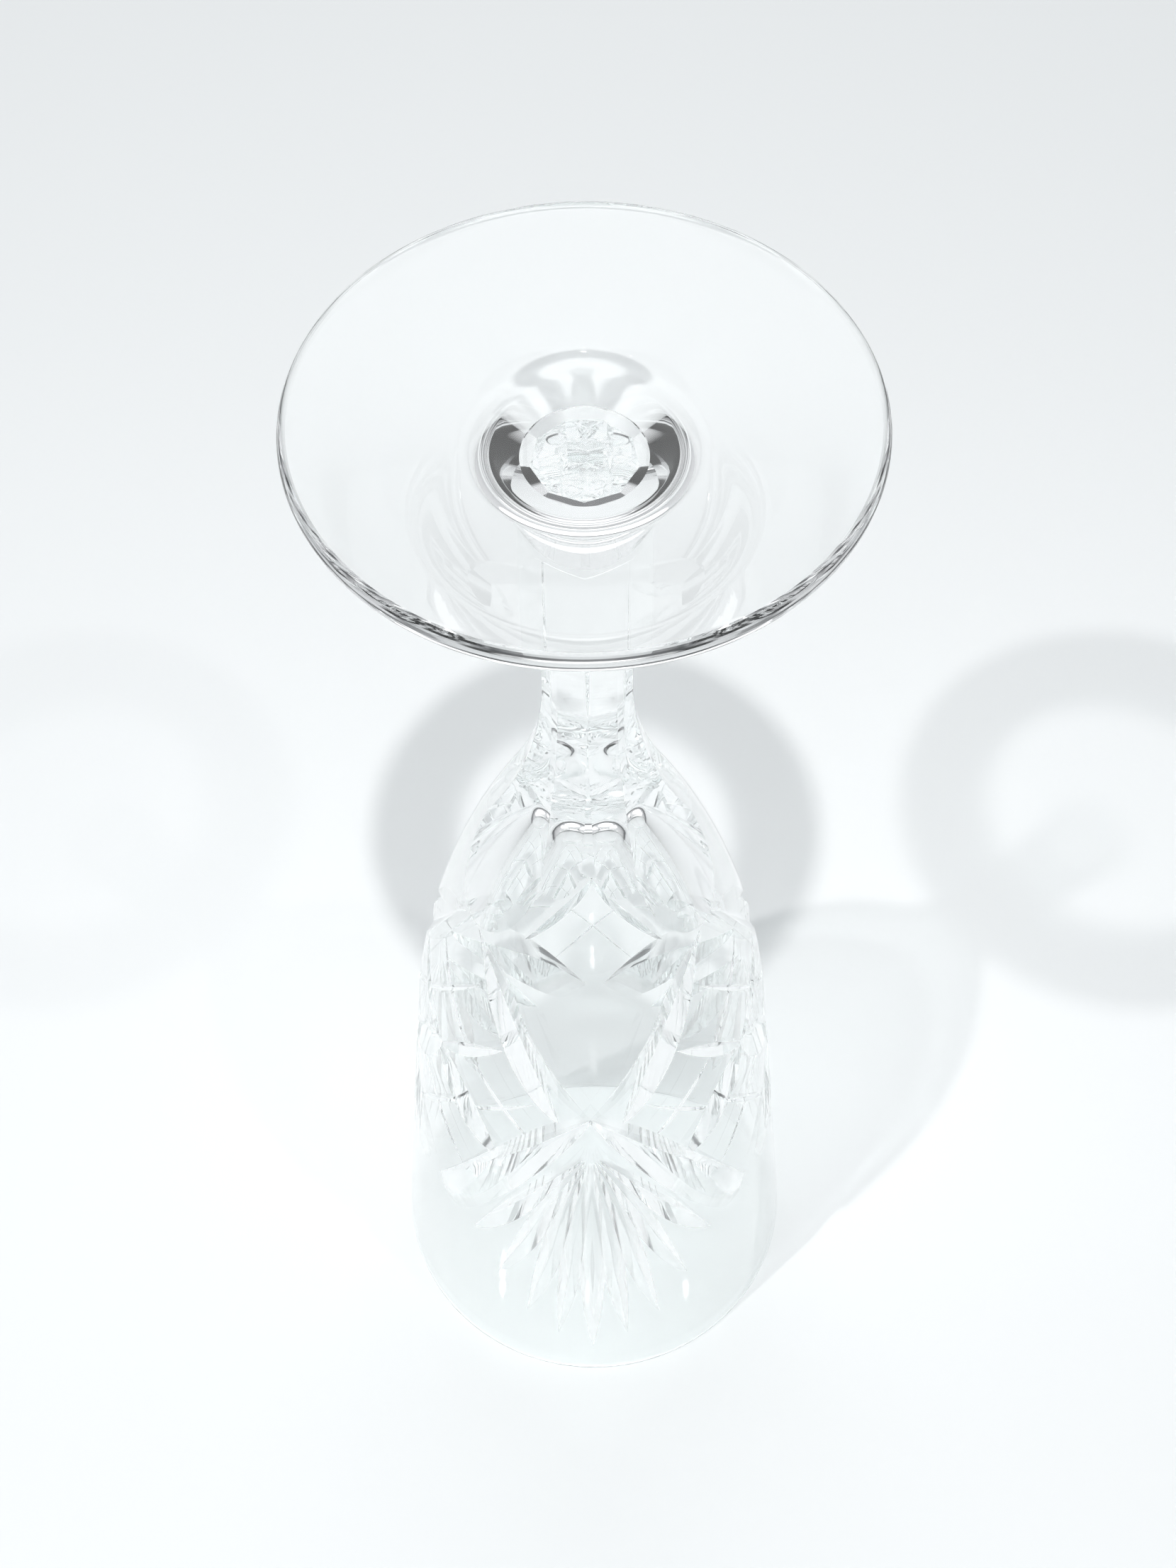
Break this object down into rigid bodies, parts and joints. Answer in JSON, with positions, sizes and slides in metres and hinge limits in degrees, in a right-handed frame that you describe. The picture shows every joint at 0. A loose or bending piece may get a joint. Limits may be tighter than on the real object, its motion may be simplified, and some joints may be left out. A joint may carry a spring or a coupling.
{
  "type": "champagne flute",
  "caption": "Tall stemmed drinking glass with a slender cut-crystal bowl, a faceted stem and a round foot.",
  "frame": {"origin": "centre of the foot's flat underside, on the surface the glass stands on", "axes": "+Z along the glass's axis from the foot to the rim; -Y faces one of the three cut panels"},
  "size_m": [0.062, 0.062, 0.195],
  "materials": {
    "bowl_glass": "polished clear crystal with cut mitres",
    "stem_glass": "polished clear crystal with ground facets",
    "foot_glass": "polished clear crystal"
  },
  "bodies": {
    "root": {"bowl": "bowl_glass", "stem": "stem_glass", "foot": "foot_glass"}
  },
  "joints": []
}
